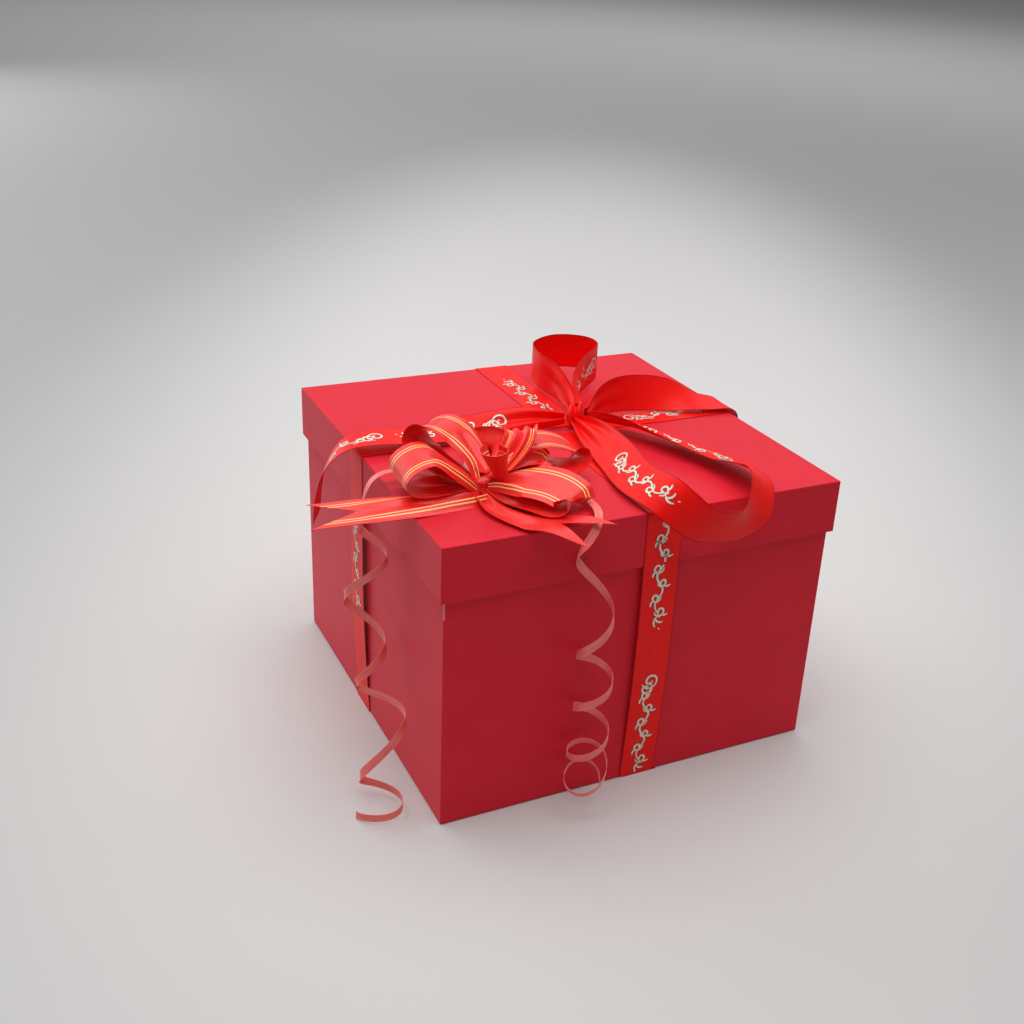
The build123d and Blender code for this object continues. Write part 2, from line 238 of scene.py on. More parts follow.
def plain_paper(name, low, high, grain):
    """Uncoated paper in two close tints, mottled at the fibres' own scale, given in metres."""
    material, tree, output = new_material(name)
    place = add(tree, "ShaderNodeTexCoord").outputs["Object"]
    fibres = add(tree, "ShaderNodeTexNoise", {"Vector": place, "Scale": 1 / grain, "Detail": 5.0})
    tint = add(
        tree,
        "ShaderNodeValToRGB",
        {"Fac": fibres.outputs["Fac"]},
        stops=[(0.35, low), (0.65, high)],
    ).outputs["Color"]
    bump = add(
        tree,
        "ShaderNodeBump",
        {"Height": fibres.outputs["Fac"], "Strength": 0.15, "Distance": 0.05 * MM},
    )
    shader = add(
        tree,
        "ShaderNodeBsdfPrincipled",
        {"Base Color": tint, "Roughness": 0.8, "Normal": bump.outputs["Normal"]},
    )
    tree.links.new(shader.outputs[0], output.inputs[0])
    return material


# scale of a wave texture that gives one wave for each unit
WAVE = 2 * pi / 20


def ribbon_patterns(tree, width, ribs, streaks, stops):
    """Tint, bump and distance from the middle line, all following a ribbon of the given width.

    Ribs are the spacing, wobble and depth of the ribs along it, and streaks are the scale and detail
    of the streaks that its tint runs in."""
    spacing, wobble, depth = ribs
    scale, detail = streaks
    place = add(tree, "ShaderNodeUVMap", uv_map=RIBBON_MAP).outputs["UV"]
    split = add(tree, "ShaderNodeSeparateXYZ", {0: place})
    middle = add(tree, "ShaderNodeMath", {0: split.outputs["Y"], 1: 0.5}, operation="SUBTRACT")
    distance = add(tree, "ShaderNodeMath", {0: middle.outputs[0]}, operation="ABSOLUTE")
    aside = add(tree, "ShaderNodeMath", {0: distance.outputs[0], 1: width}, operation="MULTIPLY")
    lines = add(
        tree,
        "ShaderNodeTexWave",
        {"Vector": place, "Scale": width / spacing * WAVE, "Distortion": wobble},
        bands_direction="Y",
    )
    streak = add(tree, "ShaderNodeTexNoise", {"Vector": place, "Scale": scale, "Detail": detail})
    tint = add(tree, "ShaderNodeValToRGB", {"Fac": streak.outputs["Fac"]}, stops=stops)
    bump = add(
        tree,
        "ShaderNodeBump",
        {"Height": lines.outputs["Fac"], "Strength": depth, "Distance": 0.05 * MM},
    )
    return tint.outputs["Color"], bump.outputs["Normal"], aside.outputs[0]


def woven_satin():
    """Polyester satin ribbon, woven: long floats give a soft gloss, and the selvedges are denser."""
    material, tree, output = new_material("woven_polyester_satin")
    # threads are 0.2 mm apart on the real ribbon and are drawn 0.45 mm apart, so that they show
    threads = (0.45 * MM, 0.2, 0.12)
    tints = [(0.3, "F20E0A"), (0.7, "F8120D")]
    tint, bump, aside = ribbon_patterns(tree, SATIN, threads, (9.0, 3.0), tints)
    selvedge = add(
        tree,
        "ShaderNodeMath",
        {0: aside, 1: SATIN / 2 - 0.7 * MM},
        operation="GREATER_THAN",
    )
    edged = add(
        tree,
        "ShaderNodeMix",
        {0: selvedge.outputs[0], 6: tint, 7: colour("C40806")},
        data_type="RGBA",
    ).outputs[2]
    shader = add(
        tree,
        "ShaderNodeBsdfPrincipled",
        {
            "Base Color": edged,
            "Roughness": 0.4,
            "IOR": 1.46,
            "Specular IOR Level": 0.18,
            "Sheen Weight": 0.04,
            "Sheen Roughness": 0.4,
            "Sheen Tint": colour("FF8A75"),
            "Normal": bump,
        },
    )
    tree.links.new(shader.outputs[0], output.inputs[0])
    return material


def bow_film(name, foiled):
    """Polypropylene bow ribbon, extruded: waxy red film, foiled on one side with gold line pairs."""
    material, tree, output = new_material(name)
    tints = [(0.3, "EC1A16"), (0.7, "F6241F")]
    tint, bump, aside = ribbon_patterns(tree, POLY, (0.6 * MM, 0.3, 0.1), (14.0, 2.0), tints)
    if foiled:
        from_pair = add(tree, "ShaderNodeMath", {0: aside, 1: GOLD_PAIR}, operation="SUBTRACT")
        to_pair = add(tree, "ShaderNodeMath", {0: from_pair.outputs[0]}, operation="ABSOLUTE")
        to_line = add(tree, "ShaderNodeMath", {0: to_pair.outputs[0], 1: GOLD_SPREAD}, operation="SUBTRACT")
        on_line = add(
            tree,
            "ShaderNodeMath",
            {0: to_line.outputs[0], 1: 0.0, 2: GOLD_LINE / 2},
            operation="COMPARE",
        )
        tint = add(
            tree,
            "ShaderNodeMix",
            {0: on_line.outputs[0], 6: tint, 7: colour("FFCF78")},
            data_type="RGBA",
        ).outputs[2]
    shader = add(
        tree,
        "ShaderNodeBsdfPrincipled",
        {
            "Base Color": tint,
            "Roughness": 0.34,
            "IOR": 1.5,
            "Specular IOR Level": 0.4,
            "Sheen Weight": 0.2,
            "Sheen Roughness": 0.35,
            "Sheen Tint": colour("FFB0B0"),
            "Coat Weight": 0.15,
            "Coat Roughness": 0.25,
            "Normal": bump,
        },
    )
    tree.links.new(shader.outputs[0], output.inputs[0])
    return material


def curling_film():
    """Crimped polypropylene curling ribbon: a pearly salmon film with fine ribs along its length."""
    material, tree, output = new_material("crimped_curling_film")
    tints = [(0.3, "EE5E58"), (0.7, "F67C76")]
    tint, bump, _ = ribbon_patterns(tree, CURL_WIDTH, (0.6 * MM, 0.0, 0.2), (6.0, 2.0), tints)
    shader = add(
        tree,
        "ShaderNodeBsdfPrincipled",
        {
            "Base Color": tint,
            "Roughness": 0.36,
            "IOR": 1.5,
            "Sheen Weight": 0.5,
            "Sheen Roughness": 0.3,
            "Sheen Tint": colour("FFD8D4"),
            "Normal": bump,
        },
    )
    tree.links.new(shader.outputs[0], output.inputs[0])
    return material


def glitter_ink():
    """Champagne glitter ink, screen printed: pale grains that catch the light one by one."""
    material, tree, output = new_material("champagne_glitter_ink")
    place = add(tree, "ShaderNodeTexCoord").outputs["Object"]
    # flakes are 0.2 mm on the real ribbon and are drawn 0.5 mm across
    flakes = add(tree, "ShaderNodeTexVoronoi", {"Vector": place, "Scale": 1 / (0.5 * MM)})
    tint = add(
        tree,
        "ShaderNodeValToRGB",
        {"Fac": flakes.outputs["Distance"]},
        stops=[(0.1, "FFF6EA"), (0.6, "EAD6C0")],
    ).outputs["Color"]
    bump = add(
        tree,
        "ShaderNodeBump",
        {"Height": flakes.outputs["Distance"], "Strength": 0.5, "Distance": 0.1 * MM},
    )
    shader = add(
        tree,
        "ShaderNodeBsdfPrincipled",
        {"Base Color": tint, "Roughness": 0.4, "Metallic": 0.1, "Normal": bump.outputs["Normal"]},
    )
    tree.links.new(shader.outputs[0], output.inputs[0])
    return material


def painted_shadow_ink():
    """Painted shadow round the print: a thin dark brown rim that shows round the glitter strokes."""
    material, tree, output = new_material("painted_print_shadow_ink")
    place = add(tree, "ShaderNodeTexCoord").outputs["Object"]
    mottle = add(tree, "ShaderNodeTexNoise", {"Vector": place, "Scale": 1 / (1.2 * MM)})
    tint = add(
        tree,
        "ShaderNodeValToRGB",
        {"Fac": mottle.outputs["Fac"]},
        stops=[(0.3, "5A1512"), (0.7, "6E2019")],
    ).outputs["Color"]
    shader = add(tree, "ShaderNodeBsdfPrincipled", {"Base Color": tint, "Roughness": 0.6})
    tree.links.new(shader.outputs[0], output.inputs[0])
    return material


def foam_pad():
    """Double-sided mounting foam: off-white, with fine closed cells."""
    material, tree, output = new_material("mounting_foam")
    place = add(tree, "ShaderNodeTexCoord").outputs["Object"]
    cells = add(tree, "ShaderNodeTexVoronoi", {"Vector": place, "Scale": 1 / (0.6 * MM)})
    tint = add(
        tree,
        "ShaderNodeValToRGB",
        {"Fac": cells.outputs["Distance"]},
        stops=[(0.1, "C9C7BE"), (0.6, "E9E7E0")],
    ).outputs["Color"]
    bump = add(
        tree,
        "ShaderNodeBump",
        {"Height": cells.outputs["Distance"], "Strength": 0.4, "Distance": 0.1 * MM},
    )
    shader = add(
        tree,
        "ShaderNodeBsdfPrincipled",
        {"Base Color": tint, "Roughness": 0.85, "Normal": bump.outputs["Normal"]},
    )
    tree.links.new(shader.outputs[0], output.inputs[0])
    return material


satin = woven_satin()
poly = bow_film("foiled_polypropylene_ribbon", True)
plain_poly = bow_film("plain_polypropylene_ribbon", False)
curling = curling_film()
glitter = glitter_ink()
# painted shadow: the dark rim drawn round the glitter strokes
print_shadow_rim = painted_shadow_ink()


# ---- making meshes ----
# a film's edges and folds sharper than this are shaded as edges
FOLD_ANGLE = radians(60)
# spacing of a ribbon's rows of points, and the fewest steps between them
ROW_STEP = 1.6 * MM
FEWEST_STEPS = 24


def link_mesh(name, mesh, materials):
    """Put a finished mesh in the scene as a piece, with its materials."""
    piece = bpy.data.objects.new(name, mesh)
    bpy.context.collection.objects.link(piece)
    for material in materials:
        mesh.materials.append(material)
    return piece


def only(piece):
    """Select one piece and nothing else."""
    bpy.ops.object.select_all(action="DESELECT")
    piece.select_set(True)
    bpy.context.view_layer.objects.active = piece


def finish_film(piece, thickness):
    """Give a film its thickness, with its last material on the inner side, and shade it smooth."""
    only(piece)
    body = piece.modifiers.new("thickness", "SOLIDIFY")
    body.thickness = thickness
    body.offset = 0
    body.use_even_offset = True
    body.material_offset = len(piece.data.materials) - 1
    bpy.ops.object.modifier_apply(modifier=body.name)
    bpy.ops.object.shade_smooth_by_angle(angle=FOLD_ANGLE)


def grid_mesh(name, rows, maps):
    """Mesh of quads over rows of points, with the ribbon map given at each point."""
    mesh = bpy.data.meshes.new(name)
    across = len(rows[0])
    points = [point for row in rows for point in row]
    faces = []
    for row in range(len(rows) - 1):
        for column in range(across - 1):
            corner = row * across + column
            faces.append((corner, corner + 1, corner + across + 1, corner + across))
    mesh.from_pydata(points, [], faces)
    layer = mesh.uv_layers.new(name=RIBBON_MAP)
    flat = [place for row in maps for place in row]
    for loop in mesh.loops:
        layer.data[loop.index].uv = flat[loop.vertex_index]
    return mesh


def blend_points(values, segment, share):
    """Smooth curve through a list of vectors, at a share of one of its segments."""
    here = values[segment]
    ahead = values[segment + 1]
    before = values[segment - 1] if segment > 0 else here * 2 - ahead
    after = values[segment + 2] if segment + 2 < len(values) else ahead * 2 - here
    square = share * share
    cube = square * share
    return 0.5 * (
        here * 2
        + (ahead - before) * share
        + (before * 2 - here * 5 + ahead * 4 - after) * square
        + (here * 3 - before - ahead * 3 + after) * cube
    )


class Band:
    """A ribbon of one cut width along a smooth curve through its stations.

    A station is its centre, the direction of the ribbon's width and the width it spreads over, in
    millimetres. Where it spreads over less than it was cut to, the rest lies in pleats."""

    # sampled rows from one station to the next
    STEPS = 14

    def __init__(self, stations, cut, pleats=2):
        self.cut = cut
        self.pleats = pleats
        centres = [Vector(place) * MM for place, _, _ in stations]
        ways = [Vector(way).normalized() for _, way, _ in stations]
        widths = [Vector((width * MM, 0, 0)) for _, _, width in stations]
        self.centres, self.ways, self.widths = [], [], []
        for segment in range(len(stations) - 1):
            last = segment == len(stations) - 2
            for step in range(self.STEPS + (1 if last else 0)):
                share = step / self.STEPS
                self.centres.append(blend_points(centres, segment, share))
                self.ways.append(blend_points(ways, segment, share).normalized())
                self.widths.append(min(blend_points(widths, segment, share).x, cut))
        self.places = [0.0]
        for one, two in zip(self.centres, self.centres[1:]):
            self.places.append(self.places[-1] + (two - one).length)
        self.length = self.places[-1]

    def at(self, along, across, lift=0.0):
        """Point of the ribbon at a distance along it and a distance from its middle line."""
        along = min(max(along, 0.0), self.length)
        row = min(bisect_right(self.places, along) - 1, len(self.places) - 2)
        share = (along - self.places[row]) / (self.places[row + 1] - self.places[row])
        centre = self.centres[row].lerp(self.centres[row + 1], share)
        way = self.ways[row].lerp(self.ways[row + 1], share)
        spread = self.widths[row] * (1 - share) + self.widths[row + 1] * share
        ahead = self.direction(row).lerp(self.direction(row + 1), share)
        way = (way - ahead * way.dot(ahead)).normalized()
        normal = ahead.cross(way)
        slack = sqrt(max(self.cut / spread - 1, 0))
        depth = spread / (pi * self.pleats) * slack
        turn = 2 * pi * self.pleats * across / self.cut
        fold = depth * cos(turn)
        return centre + way * (across * spread / self.cut) + normal * (fold + lift)

    def direction(self, row):
        """Unit vector along the curve at one of its sampled rows."""
        ahead = self.centres[min(row + 1, len(self.centres) - 1)]
        behind = self.centres[max(row - 1, 0)]
        return (ahead - behind).normalized()


def ribbon(name, band, body, node, materials, columns=17, notch=0.0):
    """Film along a band, riding on a body in place of a plain solid.

    With two materials, the second one is on the inner side."""
    rows, maps = [], []
    count = max(int(band.length / ROW_STEP), FEWEST_STEPS)
    for row in range(count + 1):
        line, places = [], []
        for column in range(columns):
            across = (column / (columns - 1) - 0.5) * band.cut
            reach = band.length - notch * (1 - abs(2 * across / band.cut))
            along = reach * row / count
            line.append(band.at(along, across))
            places.append((along / MAP_LENGTH, across / band.cut + 0.5))
        rows.append(line)
        maps.append(places)
    piece = link_mesh(name, grid_mesh(name, rows, maps), materials)
    finish_film(piece, FILM)
    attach(piece, body)
    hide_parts(node)
    return piece


# ---- the print: a running vine with tendrils ----
# one unit of the motif, the pen's width, and how far the painted shadow rim shows round the glitter
PRINT_SCALE = 1.33 * MM
STROKE = 1.4 * MM
RIM = 0.35 * MM
# the painted shadow rim's height above the ribbon's middle, the glitter's above it, and an ink's own
# thickness
PRINT_LIFT = FILM / 2 + 0.05 * MM
INK = 0.06 * MM
INK_BODY = 0.05 * MM
# the pen's width at the ends of a stroke, as a share of its width in the middle
PEN_ENDS = 0.55
# how far a tendril winds in, as a share of its radius, and how far a leaf bends, in radians
TENDRIL_WIND = 0.78
LEAF_BEND = 0.9
# the stem's wave: where it starts and its run, height and length, and how much it flattens to its end
STEM_START = 7
STEM_RUN = 48
STEM_HEIGHT = 2.1
STEM_WAVE = 15
STEM_FADE = 0.25
# points in each turn of a tendril, in a leaf and in the stem
TENDRIL_POINTS = 20
LEAF_POINTS = 8
STEM_POINTS = 72


def tendril(centre, radius, start, turns):
    """Spiral stroke that winds in to its centre; its turns may be negative."""
    steps = int(abs(turns) * TENDRIL_POINTS)
    stroke = []
    for step in range(steps + 1):
        share = step / steps
        reach = radius * (1 - TENDRIL_WIND * share)
        angle = radians(start) + 2 * pi * turns * share
        stroke.append((centre[0] + reach * cos(angle), centre[1] + reach * sin(angle)))
    return stroke


def leaf(foot, heading, size):
    """Short bowed stroke for one leaf."""
    stroke = []
    for step in range(LEAF_POINTS + 1):
        share = step / LEAF_POINTS
        angle = radians(heading) + LEAF_BEND * (share - 0.5)
        stroke.append((foot[0] + size * share * cos(angle), foot[1] + size * share * sin(angle)))
    return stroke


def motif():
    """Strokes of one motif, in its own units: along the ribbon, then across it."""
    strokes = [tendril((6.5, 0.6), 4.6, -75, 1.45), tendril((10.5, -1.4), 3.0, 110, -1.2)]
    stem = []
    for step in range(STEM_POINTS + 1):
        share = step / STEM_POINTS
        wave = sin(2 * pi * STEM_RUN * share / STEM_WAVE)
        stem.append((STEM_START + STEM_RUN * share, STEM_HEIGHT * wave * (1 - STEM_FADE * share)))
    strokes.append(stem)
    for index in range(6):
        foot = 12.5 + 7.5 * index
        side = 1 if index % 2 else -1
        strokes.append(tendril((foot + 1.6, side * 1.4), 2.5 + 0.25 * (index % 3), -90 * side, 1.1 * side))
        strokes.append(leaf((foot + 3.0, side * 2.2), 58 * side, 3.4))
    strokes.append(leaf((54.5, 0), -32, 5.2))
    strokes.append(leaf((55.5, -0.4), 38, 4.2))
    strokes.append([(60.4, 1.4), (61.4, 1.9)])
    return strokes


MOTIF = motif()


def stroke_sides(stroke, width):
    """Left and right sides of a stroke drawn with a pen that thins towards both ends."""
    sides = []
    last = len(stroke) - 1
    for index, (along, across) in enumerate(stroke):
        ahead = stroke[min(index + 1, last)]
        behind = stroke[max(index - 1, 0)]
        run = hypot(ahead[0] - behind[0], ahead[1] - behind[1])
        left = (-(ahead[1] - behind[1]) / run, (ahead[0] - behind[0]) / run)
        share = index / last
        half = width / 2 * (PEN_ENDS + (1 - PEN_ENDS) * sin(pi * share))
        sides.append(
            (
                (along + left[0] * half, across + left[1] * half),
                (along - left[0] * half, across - left[1] * half),
            )
        )
    return sides


def add_print(name, band, body, starts, side=1):
    """Print motifs on one side of a band; each start is the distance along it where one begins."""
    points, faces, kinds = [], [], []
    # the wider lower layer is the painted shadow round each stroke, and the glitter lies on it
    layers = ((STROKE + 2 * RIM, PRINT_LIFT, 1), (STROKE, PRINT_LIFT + INK, 0))
    for start in starts:
        for stroke in MOTIF:
            scaled = [(along * PRINT_SCALE, across * PRINT_SCALE) for along, across in stroke]
            for width, lift, kind in layers:
                previous = None
                for edges in stroke_sides(scaled, width):
                    if not all(0 <= start + along <= band.length for along, _ in edges):
                        previous = None
                        continue
                    first = len(points)
                    points.extend(band.at(start + along, across, side * lift) for along, across in edges)
                    if previous is not None:
                        faces.append((previous, previous + 1, first + 1, first))
                        kinds.append(kind)
                    previous = first
    mesh = bpy.data.meshes.new(name)
    mesh.from_pydata(points, [], faces)
    piece = link_mesh(name, mesh, [glitter, print_shadow_rim])
    for face, kind in zip(mesh.polygons, kinds):
        face.material_index = kind
    only(piece)
    bpy.ops.object.mode_set(mode="EDIT")
    bpy.ops.mesh.select_all(action="SELECT")
    bpy.ops.mesh.extrude_region_shrink_fatten(TRANSFORM_OT_shrink_fatten={"value": INK_BODY})
    bpy.ops.mesh.select_all(action="SELECT")
    bpy.ops.mesh.normals_make_consistent(inside=False)
    bpy.ops.object.mode_set(mode="OBJECT")
    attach(piece, body)
    return piece


# ---- curled ribbons: cords of flat film ----
POINTS_PER_HALF_TURN = 8
CURL_COLUMNS = 5
# how far off the route its guide runs, in millimetres; the guide sets which way the film faces
GUIDE_REACH = 4.0


def helix(axis_points, radii, first_half_turn):
    """Points of a curl, wound clockwise from above.

    Each half turn has a point of the axis, and a width, a depth and a tilt of the turn."""
    points, normals = [], []
    axis = [Vector(place) for place in axis_points]
    reach = [Vector(radius) for radius in radii]
    for segment in range(len(axis) - 1):
        last = segment == len(axis) - 2
        for step in range(POINTS_PER_HALF_TURN + (1 if last else 0)):
            share = step / POINTS_PER_HALF_TURN
            angle = -pi * (first_half_turn + segment + share)
            wide, deep, tilt = blend_points(reach, segment, share)
            centre = blend_points(axis, segment, share)
            back = AWAY * sin(angle) + Vector((0, 0, tilt * sin(angle)))
            points.append(centre + CAMERA_SIDE * (wide * cos(angle)) + back * deep)
            normals.append((CAMERA_SIDE * (deep * cos(angle)) + back * wide).normalized())
    return points, normals


def spline_points(name, points):
    """Points read from the smooth curve that has the given ones as its control points, in metres."""
    data = bpy.data.curves.new(name, "CURVE")
    data.dimensions = "3D"
    data.resolution_u = 6
    spline = data.splines.new("NURBS")
    spline.points.add(len(points) - 1)
    for point, place in zip(spline.points, points):
        point.co = (*(Vector(place) * MM), 1.0)
    spline.order_u = 3
    spline.use_endpoint_u = True
    curve = bpy.data.objects.new(name, data)
    read = bpy.data.meshes.new_from_object(curve)
    found = [vertex.co.copy() for vertex in read.vertices]
    bpy.data.objects.remove(curve)
    bpy.data.curves.remove(data)
    bpy.data.meshes.remove(read)
    return found


def curl(name, lead, axis_points, radii, first_half_turn, nodes):
    """One curled ribbon: a plain stretch from the pull bow, then its curl, down past the box."""
    coil, coil_normals = helix(axis_points, radii, first_half_turn)
    route = [Vector(place) for place, _ in lead] + coil
    normals = [Vector(way).normalized() for _, way in lead] + coil_normals
    path = spline_points(name + "_route", route)
    guide = spline_points(
        name + "_guide",
        [place + way * GUIDE_REACH for place, way in zip(route, normals)],
    )
    rows, maps = [], []
    run = 0.0
    last = len(path) - 1
    for index, centre in enumerate(path):
        if index:
            run += (centre - path[index - 1]).length
        ahead = (path[min(index + 1, last)] - path[max(index - 1, 0)]).normalized()
        normal = guide[index] - centre
        across = ahead.cross(normal).normalized()
        line, places = [], []
        for column in range(CURL_COLUMNS):
            side = column / (CURL_COLUMNS - 1) - 0.5
            line.append(centre + across * (side * CURL_WIDTH))
            places.append((run / MAP_LENGTH, side + 0.5))
        rows.append(line)
        maps.append(places)
    piece = link_mesh(name, grid_mesh(name, rows, maps), [curling])
    finish_film(piece, CURL_FILM)
    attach(piece, "lid")
    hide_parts(*nodes)


# each curl: the plain stretch's points, with the way its film faces, then the middle and the width,
# depth and tilt of each half turn, in millimetres
LEFT_LEAD = [
    ((-95, -69, 194), (0, 0, 1)),
    ((-104, -56, 194.5), (0, 0, 1)),
    ((-117, -47, 197), (0, 0, 1)),
    ((-131, -43, 198.5), (0, 0, 1)),
    ((-143, -44, 196), (-0.6, 0, 0.8)),
    ((-149, -46, 187), (-1, 0, 0.2)),
    ((-151, -47, 177), (-0.9, 0.5, 0)),
]
LEFT_AXIS = [
    (-149, -52, 168),
    (-150, -56, 150),
    (-150, -42, 114),
    (-150, -53, 88),
    (-150.5, -66, 64),
    (-151.5, -92, 58),
    (-158, -95, 16),
    (-160, -109, 8),
    (-166, -112, 2.9),
]
LEFT_RADII = [
    (4, 4, 0),
    (11, 5, 0),
    (11, 5, 0),
    (11, 5, 0),
    (11, 5, 0),
    (11.5, 5, 0),
    (12, 8, 0),
    (12, 9, 0),
    (12, 6, 0),
]

FRONT_LEAD = [
    ((-79, -77, 194), (0, 0, 1)),
    ((-62, -76, 193.5), (0, 0, 1)),
    ((-45, -82, 193), (0, 0, 1)),
    ((-35, -95, 193), (0, 0, 1)),
    ((-33, -111, 193), (0, 0, 1)),
    ((-35, -126, 194.5), (0, 0, 1)),
    ((-40.5, -139, 195), (0, -0.6, 0.8)),
    ((-47, -147, 190), (-0.3, -0.9, 0.2)),
]
FRONT_AXIS = [
    (-50, -149, 176),
    (-45.3, -149, 139),
    (-41.8, -149, 109),
    (-42.2, -149, 91.7),
    (-42, -149, 73),
    (-42.3, -149, 55),
    (-43.8, -149.5, 41),
    (-43.2, -150, 32),
    (-44.2, -150, 22),
    (-45.5, -150, 19),
]
FRONT_RADII = [
    (8, 8, 0),
    (11.5, 10, 0),
    (11.5, 11, 0),
    (11.5, 11, 0),
    (11.5, 11, 0),
    (11.5, 11, 0.1),
    (12.5, 12, 0.3),
    (12.5, 12, 0.6),
    (13, 12, 0.7),
    (11, 11, 0.7),
]

curl("curl_left", LEFT_LEAD, LEFT_AXIS, LEFT_RADII, -1, ["curl_left_lead", "curl_left_coil"])
curl("curl_front", FRONT_LEAD, FRONT_AXIS, FRONT_RADII, 1, ["curl_front_lead", "curl_front_coil"])


# ---- satin strands round the box ----
HALF = LID_HALF / MM
TOP = LID_TOP / MM
RIM_Z = LID_RIM / MM
WALL = BASE_HALF / MM
# millimetres between the paper and the strand's middle, and between the strand's end and the lid's rim
CLEAR = 0.25
SEAM = 0.03
# height of a strand's lower end, just above the table
FOOT = 0.35
SATIN_SPREAD = SATIN / MM

# Each strand in millimetres: the way it leaves the knot, how far to its left it lies on the lid and
# on the base, how far from the middle it starts, how far it drifts and stands off down the base, and
# where its print starts on the lid and on the base.
STRANDS = {
    "front": {
        "heading": (0, -1, 0),
        "across": (6.5, 6.5),
        "start": 6,
        "drift": -2.5,
        "stand_off": 1.6,
        "prints": ((108,), (-36, 74)),
    },
    "back": {
        "heading": (0, 1, 0),
        "across": (-11.5, -6.5),
        "start": 6,
        "drift": 1.5,
        "stand_off": 1.2,
        "prints": ((18,), (-36, 74)),
    },
    "left": {
        "heading": (-1, 0, 0),
        "across": (-12, -12),
        "start": 6,
        "drift": 1.0,
        "stand_off": 1.5,
        "prints": ((22,), (2,)),
    },
    "right": {
        "heading": (1, 0, 0),
        "across": (5, 12),
        "start": 24,
        "drift": -1.0,
        "stand_off": 1.0,
        "prints": ((28,), (20,)),
    },
}


def lid_stations(start, across, heading):
    """Stations of a strand over the lid: from the knot, round the edge and down to the rim."""
    out = Vector(heading)
    side = Vector((-out.y, out.x, 0))
    middle = side * across
    skin = HALF + CLEAR
    over = TOP + CLEAR
    stations = []
    for reach, height in (
        (start, over),
        ((start + HALF) / 2, over),
        (HALF - 22, over),
        (HALF - 3, over + 0.1),
        (HALF - 0.1, over - 0.1),
        (skin + 0.1, over - 3),
        (skin, TOP - 12),
        (skin, (TOP + RIM_Z) / 2),
        (skin, RIM_Z + SEAM),
    ):
        place = out * reach + middle + Vector((0, 0, height))
        stations.append((tuple(place), tuple(side), SATIN_SPREAD))
    return stations


def drop_stations(across, heading, drift, stand_off):
    """Stations of a strand down the base; it drifts sideways and stands off the wall in between."""
    out = Vector(heading)
    side = Vector((-out.y, out.x, 0))
    stations = []
    for share in (0, 0.12, 0.3, 0.5, 0.7, 0.88, 0.97, 1):
        height = (RIM_Z - SEAM) * (1 - share) + FOOT * share
        reach = (HALF + CLEAR) * (1 - share) + (WALL + CLEAR) * share + stand_off * sin(pi * share)
        place = out * reach + side * (across + drift * share * share) + Vector((0, 0, height))
        stations.append((tuple(place), tuple(side), SATIN_SPREAD))
    return stations


def satin_strands():
    """Four strands over the lid and four down the base, with their print."""
    for name, strand in STRANDS.items():
        heading = strand["heading"]
        lid_across, base_across = strand["across"]
        lid_print, base_print = strand["prints"]
        over_lid = lid_stations(strand["start"], lid_across, heading)
        down_base = drop_stations(base_across, heading, strand["drift"], strand["stand_off"])
        for body, stations, starts in (("lid", over_lid, lid_print), ("base", down_base, base_print)):
            place = body + "_" + name
            band = Band(stations, SATIN)
            piece = ribbon("satin_" + place, band, body, "ribbon_" + place, [satin])
            mark = add_print("print_" + place, band, body, [start * MM for start in starts])


satin_strands()


# ---- the tied bow ----
BOW_BACK = [
    ((18.5, 12.5, 200.5), (0.3, 0, 1), 8),
    ((19, 26, 205), (0.1, 0, 1), 18),
    ((19, 42, 209.5), (0, 0, 1), 24),
    ((17, 64, 211), (0, 0, 1), 25),
    ((24, 88, 211), (0, 0, 1), 25),
    ((46, 100, 211), (0, 0, 1), 25),
    ((66, 90, 211), (0, 0, 1), 25),
    ((67, 70, 211), (0, 0, 1), 25),
    ((47, 51, 209.5), (0, 0, 1), 25),
    ((30, 32, 206), (0, 0, 1), 20),
    ((22, 12, 200.5), (0, 0, 1), 8),
]
BOW_FRONT = [
    ((12, -6, 199.5), (0.8, 0, 0.6), 8),
    ((12, -31, 199.2), (0.82, 0, 0.57), 20),
    ((8, -68, 199.5), (0.82, 0.06, 0.56), 25),
    ((1, -105, 200.5), (0.8, -0.1, 0.56), 25),
    ((2, -136, 202.5), (0.72, -0.1, 0.66), 25),
    ((8, -149, 197), (0.62, -0.2, 0.76), 25),
    ((20, -156, 188), (0.45, -0.3, 0.84), 25),
    ((44, -157, 184), (-0.1, -0.3, 0.95), 25),
    ((62, -151, 191), (-0.5, 0.1, 0.85), 25),
    ((71, -138, 201), (-0.7, 0.1, 0.65), 25),
    ((75, -118, 200.5), (-0.88, 0.05, 0.4), 25),
    ((73, -90, 197), (-0.95, -0.2, 0.2), 25),
    ((60, -55, 197), (-0.85, -0.35, 0.3), 24),
    ((43, -22, 199), (-0.75, -0.5, 0.45), 19),
    ((24, -3, 200), (-0.6, -0.5, 0.6), 8),
]
BOW_LEFT = [
    ((8, 3, 198.5), (0, 0.6, 0.8), 8),
    ((-20, 8, 199), (0, 0.8, 0.6), 20),
    ((-58, 10, 196.5), (0, 0.95, 0.3), 25),
    ((-95, 9, 196.5), (0, 1, 0.1), 25),
    ((-126, 11, 197.5), (0.05, 1, 0), 25),
    ((-143, 13, 193.5), (0.2, 0.97, -0.1), 25),
    ((-154, 14, 181), (0.38, 0.92, -0.1), 25),
    ((-159, 14, 165), (0.44, 0.9, -0.05), 25),
    ((-161, 14, 147), (0.45, 0.89, 0), 25),
]
BOW_RIGHT = [
    ((26, 5, 199), (0, 0.2, 1), 8),
    ((40, 13, 203.3), (0, 0, 1), 22),
    ((60, 17, 204.5), (0, 0.15, 1), 25),
    ((90, 14, 202), (0, 0.6, 0.8), 25),
    ((118, 8, 195.5), (0, 0.95, 0.2), 25),
    ((137.5, 4, 191.8), (0, 1, 0), 25),
    ((142, 3, 178), (0, 1, 0), 25),
    ((143, 3, 150), (0, 1, 0), 25),
]
